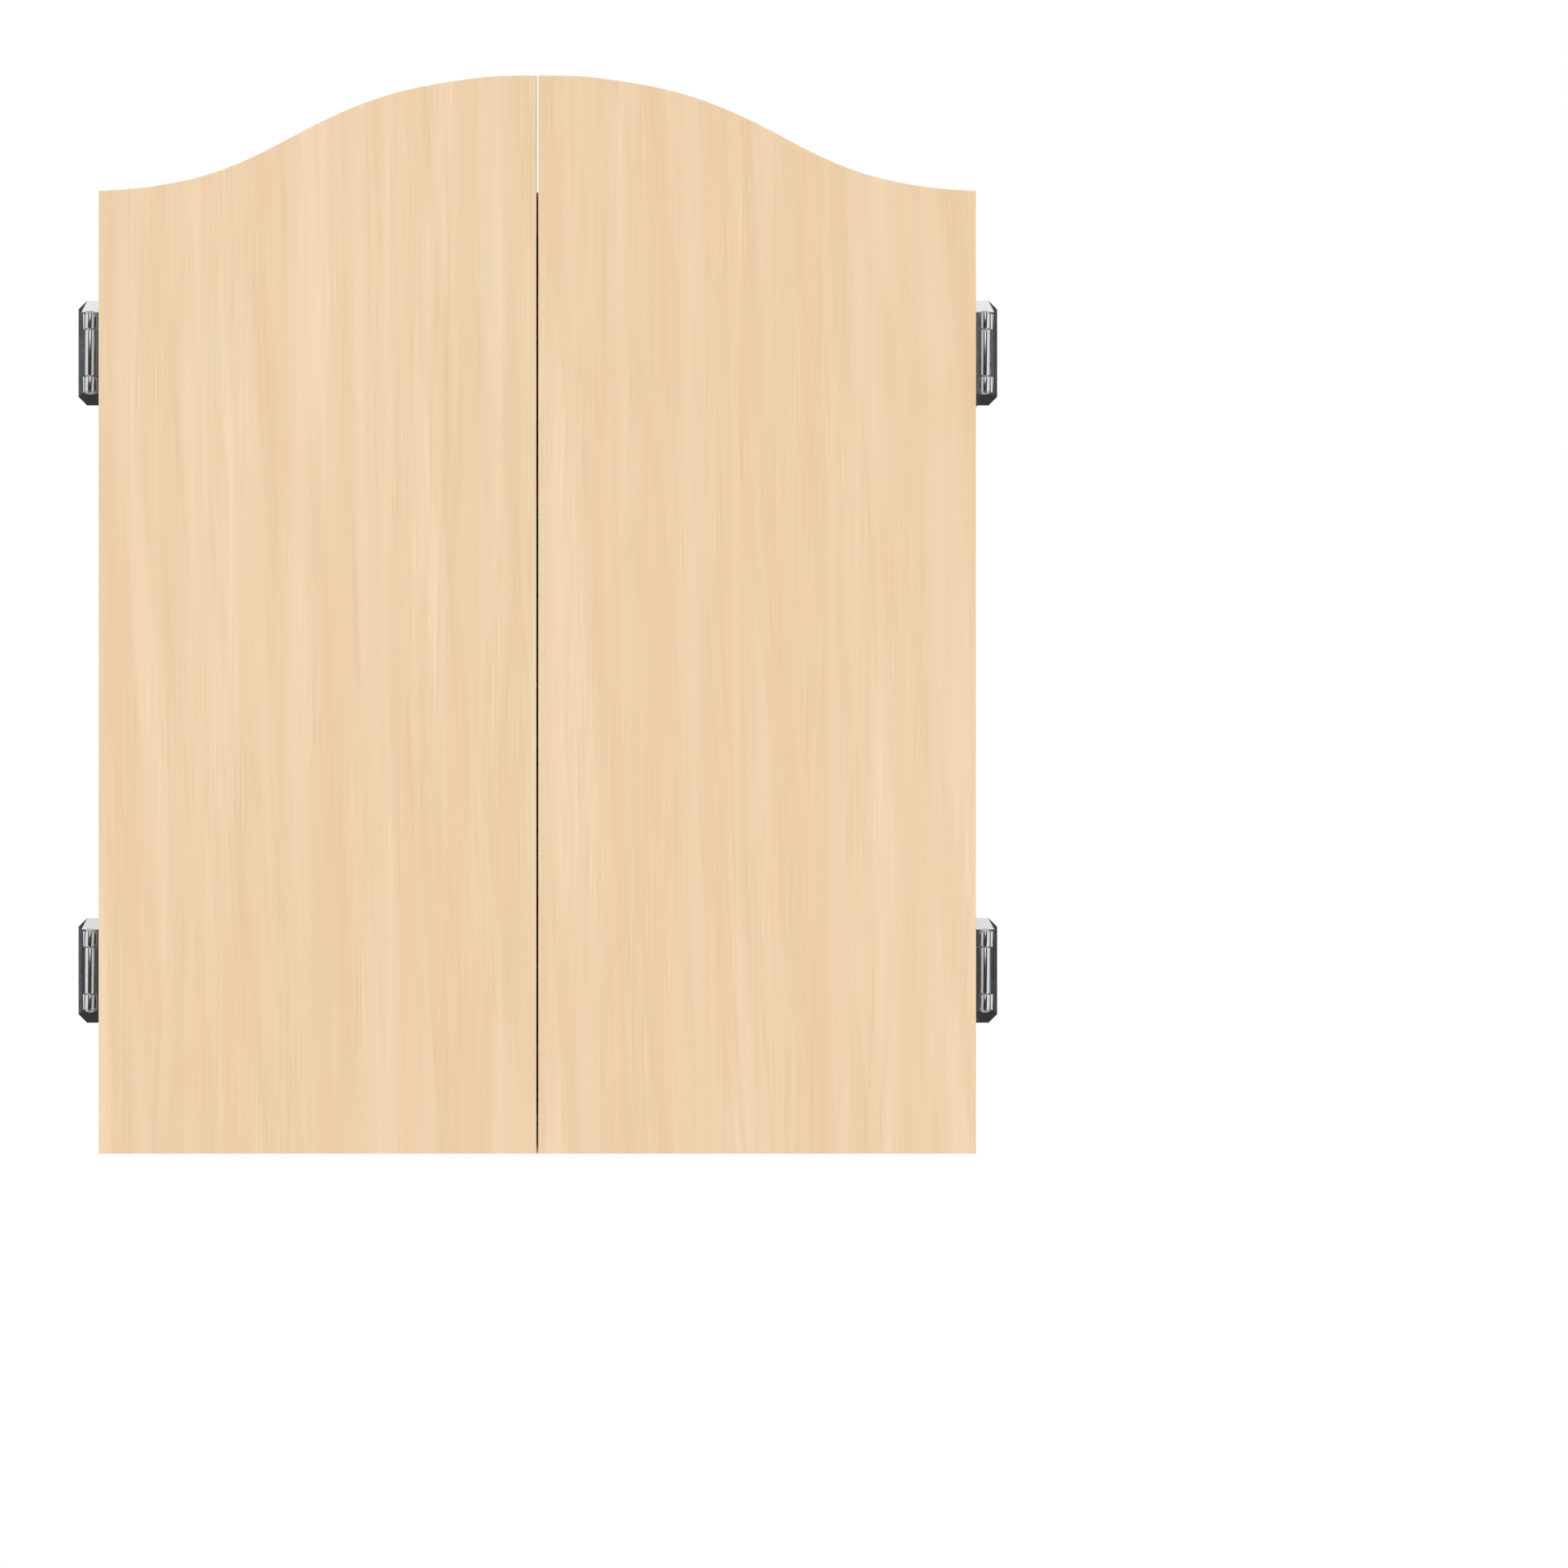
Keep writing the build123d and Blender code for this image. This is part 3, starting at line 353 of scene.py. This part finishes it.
def dry_wipe(name, centre):
    """White score sheet with plain printed rules and no lettering. centre is the sheet's middle in x."""
    s = Shader(name, rough=0.16, Coat_Weight=0.35, Coat_Roughness=0.06)
    p = s.xyz(s.mm())
    haze = s.noise(s.mm(), scale=0.012, detail=4.0)
    wipe = s.noise(s.vec("MULTIPLY", s.mm(), (0.02, 0.02, 0.12)), detail=4.0, rough=0.7)
    c = s.mix(s.m("MULTIPLY", s.span(haze, 0.45, 0.75), 0.6), srgb(246, 246, 244), srgb(234, 236, 238))
    c = s.mix(s.m("MULTIPLY", s.span(wipe, 0.56, 0.72), 0.16), c, srgb(170, 174, 182))
    x = s.m("SUBTRACT", p[0], centre)
    ax = s.m("ABSOLUTE", x)

    def bar(value, at, half):
        return s.span(s.m("ABSOLUTE", s.m("SUBTRACT", value, at)), half, half + 0.12, 1.0, 0.0, smooth=False)

    inside = s.m("MULTIPLY", s.m("LESS_THAN", ax, 93.0), s.m("MULTIPLY", s.m("GREATER_THAN", p[2], -180.0), s.m("LESS_THAN", p[2], 220.0)))
    lines = s.m("MAXIMUM", bar(ax, 92.4, 0.5), bar(x, 0.0, 0.45))
    lines = s.m("MAXIMUM", lines, s.m("MAXIMUM", bar(p[2], 219.4, 0.5), bar(p[2], -179.4, 0.5)))
    head = s.m("MAXIMUM", bar(p[2], 186.0, 0.5), bar(ax, 46.0, 0.25))
    lines = s.m("MAXIMUM", lines, head)
    fold = s.m("PINGPONG", s.m("ADD", p[2], 400.0), 13.0)
    rows = s.m("MULTIPLY", s.span(fold, 0.25, 0.4, 1.0, 0.0, smooth=False), s.m("MULTIPLY", s.m("LESS_THAN", p[2], 183.0), 0.55))
    lines = s.m("MULTIPLY", s.m("MAXIMUM", lines, rows), inside)
    s.colour(s.mix(lines, c, srgb(38, 44, 52)))
    s.rough(s.m("ADD", 0.13, s.m("MULTIPLY", wipe, 0.12)))
    return s.mat


def white_coat(name):
    s = Shader(name, rough=0.38, Coat_Weight=0.2)
    co = s.mm()
    n1 = s.noise(co, scale=0.12, detail=3.0)
    n2 = s.noise(co, scale=1.3, detail=3.0)
    c = s.mix(n1, srgb(246, 246, 245), srgb(233, 233, 231))
    c = s.mix(s.m("MULTIPLY", s.span(n2, 0.66, 0.76), 0.18), c, srgb(190, 190, 188))
    s.colour(c)
    s.bump(n2, strength=0.18, distance=0.00012)
    return s.mat


def foam(name):
    s = Shader(name, rough=0.95, Specular_IOR_Level=0.15)
    co = s.mm()
    pits = s.cells(co, scale=0.9)
    s.colour(s.mix(pits, srgb(34, 34, 35), srgb(62, 62, 63)))
    s.bump(pits, strength=0.8, distance=0.0005)
    return s.mat


def bumper(name):
    s = Shader(name, rough=0.22, Transmission_Weight=0.15, IOR=1.45, Subsurface_Weight=0.3)
    n1 = s.noise(s.mm(), scale=0.5, detail=2.0)
    s.colour(s.mix(n1, srgb(236, 233, 224), srgb(224, 222, 214)))
    s.bump(n1, strength=0.05, distance=0.0001)
    return s.mat


CHROME = (0.80, 0.80, 0.82, 1.0)
ZINC = (0.80, 0.81, 0.84, 1.0)
MATS = {
    "left_door": wood("foil_left_door", "z", (0.0, 0.0, 0.0)),
    "right_door": wood("foil_right_door", "z", (811.0, 53.0, 377.0)),
    "left_side_panel": wood("foil_left_side", "z", (1433.0, 7.0, 911.0)),
    "right_side_panel": wood("foil_right_side", "z", (2111.0, 29.0, 191.0)),
    "top_panel": wood("foil_top", "x", (337.0, 71.0, 1291.0)),
    "bottom_panel": wood("foil_bottom", "x", (733.0, 13.0, 2203.0)),
    "back_panel": wood("foil_back_panel", "z", (2917.0, 83.0, 1607.0), raw_back=True),
}
chrome = metal("nickel_plate", CHROME, 0.15, spread=0.10)
nickel_screw = metal("nickel_screw_plate", CHROME, 0.38, spread=0.1)
zinc = metal("zinc_plate", ZINC, 0.52, spread=0.12)
bracket_zinc = metal("zinc_bracket_steel", ZINC, 0.50, spread=0.14, brushed=(0.3, 0.3, 6.0), scratch=0.1)
strike = metal("strike_plate_steel", ZINC, 0.5, spread=0.1, brushed=(6.0, 1.0, 0.25), scratch=0.12)
wire = spider_wire("spider_wire_steel")
black_part = plastic("black_moulding", srgb(27, 27, 28), rough=0.42, grain=4.0, depth=0.16)
clip_black = plastic("clip_moulding", srgb(24, 24, 25), rough=0.5, grain=3.2, depth=0.3)
catch_grey = plastic("catch_moulding", srgb(226, 222, 212), rough=0.5, grain=5.0, depth=0.1)
magnet = plastic("ferrite", srgb(44, 43, 45), rough=0.55, grain=6.0, depth=0.25)
white = white_coat("white_wire_coat")
beech = wood("dowel_beech", "x", (53.0, 3.0, 17.0))

BLACK = sisal("sisal_black", srgb(15, 15, 14), srgb(6, 6, 6), srgb(48, 47, 45), srgb(76, 74, 70), 0.30, mottle=0.40, spec=0.12)
CREAM = sisal("sisal_cream", srgb(255, 241, 219), srgb(252, 236, 210), srgb(250, 234, 206), srgb(186, 158, 116), 0.30, mottle=0.035, shadow=0.38)
RED = sisal("sisal_red", srgb(238, 54, 26), srgb(220, 34, 12), srgb(246, 84, 52), srgb(150, 24, 12), 0.45, mottle=0.15)
GREEN = sisal("sisal_green", srgb(4, 202, 50), srgb(2, 188, 40), srgb(20, 212, 66), srgb(2, 120, 30), 0.35, mottle=0.09, notch_shadows=True)
CORE = sisal("sisal_core", srgb(196, 170, 120), srgb(170, 142, 96), srgb(206, 182, 134), srgb(110, 84, 50), 0.4, mottle=0.2, shadow=0.0)

FINISH = {
    "corner_dowels": beech,
    "catch_housings": catch_grey,
    "catch_magnets": magnet,
    "board_bracket": bracket_zinc,
    "hinge_plate_screws": nickel_screw,
    "left_hinge_leaf_screws": nickel_screw,
    "right_hinge_leaf_screws": nickel_screw,
    "left_strike_plates": strike,
    "right_strike_plates": strike,
    "left_scoreboard": dry_wipe("dry_wipe_left", -123.0),
    "right_scoreboard": dry_wipe("dry_wipe_right", 123.0),
    "left_scoreboard_frame": black_part,
    "right_scoreboard_frame": black_part,
    "left_dart_rack": black_part,
    "right_dart_rack": black_part,
    "left_door_bumpers": bumper("clear_dot_left"),
    "right_door_bumpers": bumper("clear_dot_right"),
    "board_backing": chipboard("backing_chipboard"),
    "board_band": rolled_band("band_black_coat"),
    "sisal_core": CORE,
    "surround_face": BLACK,
    "black_fields": BLACK,
    "cream_fields": CREAM,
    "red_fields": RED,
    "green_fields": GREEN,
    "spider_rings": wire,
    "spider_radials": wire,
    "spider_staples": wire,
    "bull_rings": spider_wire("bull_ring_steel", ring_edge_shade=True),
    "number_ring": white,
    "number_ring_digits": white,
    "number_ring_clips": clip_black,
    "board_rest_pads": foam("pad_foam"),
}
for n in NODES:
    if n in MATS or n in FINISH:
        continue
    FINISH[n] = chrome if "hinge" in n else zinc
FINISH.update(MATS)


def dress(obj, mat):
    obj.data.materials.clear()
    obj.data.materials.append(mat)


for n, o in NODES.items():
    dress(o, FINISH[n])


# ---------------------------------------------------------------- rounded edges on the hard-edged pieces
def soften(node, width, segments=3, angle=32.0):
    """Rounded edges as modifiers, so the CAD mesh itself stays as it is."""
    obj = NODES[node]
    w = obj.modifiers.new("weld", "WELD")
    w.merge_threshold = 1e-6
    d = obj.modifiers.new("flat", "DECIMATE")
    d.decimate_type, d.angle_limit = "DISSOLVE", math.radians(0.6)
    b = obj.modifiers.new("bevel", "BEVEL")
    b.width, b.segments, b.limit_method, b.angle_limit = width, segments, "ANGLE", math.radians(angle)
    b.use_clamp_overlap, b.harden_normals = True, True


for u in ("upper", "lower"):
    for side in ("left", "right"):
        soften(f"{u}_{side}_hinge_plate", 0.28 * MM)
        soften(f"{u}_{side}_hinge_leaf", 0.28 * MM)
for n in ("number_ring_clips", "left_dart_rack", "right_dart_rack", "catch_housings"):
    soften(n, 0.45 * MM)
for n in ("left_scoreboard_frame", "right_scoreboard_frame"):
    soften(n, 0.7 * MM)
soften("board_bracket", 0.2 * MM)


# ---------------------------------------------------------------- floor, light and camera
def floor():
    me = bpy.data.meshes.new("floor")
    bm = bmesh.new()
    bmesh.ops.create_circle(bm, cap_ends=True, segments=96, radius=13.0)
    bm.to_mesh(me)
    bm.free()
    o = bpy.data.objects.new("floor", me)
    o.location = (0, 0, -1.73)
    o.visible_glossy = False
    scene.collection.objects.link(o)
    s = Shader("floor_pale", rough=0.6)
    grain = s.noise(s.mm(), scale=0.004, detail=3.0)
    s.colour(s.mix(grain, (0.94, 0.94, 0.935, 1.0), (0.91, 0.91, 0.905, 1.0)))
    s.bsdf.inputs["Emission Color"].default_value = (1.0, 1.0, 1.0, 1.0)
    s.bsdf.inputs["Emission Strength"].default_value = 0.2
    o.data.materials.append(s.mat)


floor()


def softbox(name, at, aim, size, watts, colour=(1, 1, 1)):
    d = bpy.data.lights.new(name, "AREA")
    d.shape, d.size, d.size_y, d.energy, d.color = "RECTANGLE", size[0], size[1], watts, colour
    o = bpy.data.objects.new(name, d)
    o.location = at
    o.rotation_mode = "QUATERNION"
    o.rotation_quaternion = (Vector(aim) - Vector(at)).to_track_quat("-Z", "Y")
    scene.collection.objects.link(o)
    o.visible_glossy = False
    return o


softbox("key", (-2.3, -3.0, 1.1), (0, 0, 0), (1.6, 2.2), 45)
softbox("fill", (2.5, -2.9, -0.3), (0, 0, 0), (1.6, 2.2), 36)
softbox("top", (0.0, -0.6, 2.7), (0, 0, 0), (2.4, 1.2), 6)
softbox("rear", (0.0, 3.2, 1.6), (0, 0, 0), (2.6, 1.6), 60)


def studio():
    """White to the camera; to everything else a studio with bright panels at the sides and a dark gap between them."""
    world = bpy.data.worlds.new("studio")
    scene.world = world
    world.use_nodes = True
    t = world.node_tree
    t.nodes.clear()

    def n(kind, **props):
        node = t.nodes.new("ShaderNode" + kind)
        for k, v in props.items():
            setattr(node, k, v)
        return node

    def put(socket, value):
        if isinstance(value, bpy.types.NodeSocket):
            t.links.new(value, socket)
        else:
            socket.default_value = value

    def m(op, *args):
        v = n("Math", operation=op)
        for socket, value in zip(v.inputs, args):
            put(socket, value)
        return v.outputs[0]

    def step(v, a, b, lo=0.0, hi=1.0):
        r = n("MapRange", interpolation_type="SMOOTHSTEP")
        for i, value in enumerate((v, a, b, lo, hi)):
            put(r.inputs[i], value)
        return r.outputs[0]

    co = n("TexCoord")
    d = n("SeparateXYZ")
    put(d.inputs[0], co.outputs["Generated"])
    x, y, z = d.outputs
    az = m("MULTIPLY", m("ABSOLUTE", m("ARCTAN2", x, m("MULTIPLY", y, -1.0))), 180 / math.pi)
    up = m("MULTIPLY", m("ARCSINE", z), 180 / math.pi)
    # bright panels at the sides, each with a seam, and darkness between them where the lens is
    panel = m("MULTIPLY", step(az, 37.0, 44.0), step(az, 96.0, 116.0, 1.0, 0.0))
    seam = m("MULTIPLY", step(az, 66.0, 69.0), step(az, 75.0, 78.0, 1.0, 0.0))
    panel = m("SUBTRACT", panel, m("MULTIPLY", seam, 0.5))
    behind = step(az, 130.0, 165.0, 0.0, 0.4)
    level = m("ADD", m("ADD", m("MULTIPLY", panel, 1.55), behind), 0.07)
    # a bright card just above the lens
    card = m("MULTIPLY", step(az, 13.0, 16.0, 1.0, 0.0), step(up, 5.0, 8.0))
    level = m("ADD", m("MULTIPLY", level, m("SUBTRACT", 1.0, card)), m("MULTIPLY", card, 1.75))
    # ceiling and floor
    roof = step(up, 32.0, 48.0)
    level = m("ADD", m("MULTIPLY", level, m("SUBTRACT", 1.0, roof)), m("MULTIPLY", roof, 0.95))
    under = step(up, -46.0, -24.0, 1.0, 0.0)
    level = m("ADD", m("MULTIPLY", level, m("SUBTRACT", 1.0, under)), m("MULTIPLY", under, 0.62))
    lit = n("Background")
    grey = n("CombineXYZ")
    for s in grey.inputs:
        put(s, level)
    put(lit.inputs[0], grey.outputs[0])
    lit.inputs[1].default_value = 0.64
    seen = n("Background")
    seen.inputs[0].default_value = (1.0, 1.0, 1.0, 1.0)
    seen.inputs[1].default_value = 1.0
    path = n("LightPath")
    mix = n("MixShader")
    put(mix.inputs[0], path.outputs["Is Camera Ray"])
    put(mix.inputs[1], lit.outputs[0])
    put(mix.inputs[2], seen.outputs[0])
    put(n("OutputWorld").inputs[0], mix.outputs[0])


studio()

scene.view_settings.view_transform = "Standard"
scene.view_settings.look = "None"
scene.view_settings.exposure = 0.0
scene.view_settings.gamma = 1.0

cam_data = bpy.data.cameras.new("camera")
camera = bpy.data.objects.new("camera", cam_data)
scene.collection.objects.link(camera)
scene.camera = camera
CAM_Y = -6.0
cam_data.sensor_fit = "HORIZONTAL"
cam_data.sensor_width = 36.0
cam_data.lens = 36.0 * (-CAM_Y - 0.0855) / 0.9115
cam_data.clip_start, cam_data.clip_end = 0.05, 60.0
cam_data.dof.use_dof = False
camera.location = (0.1434, CAM_Y, -0.0646)
camera.rotation_euler = (math.radians(90), 0, 0)
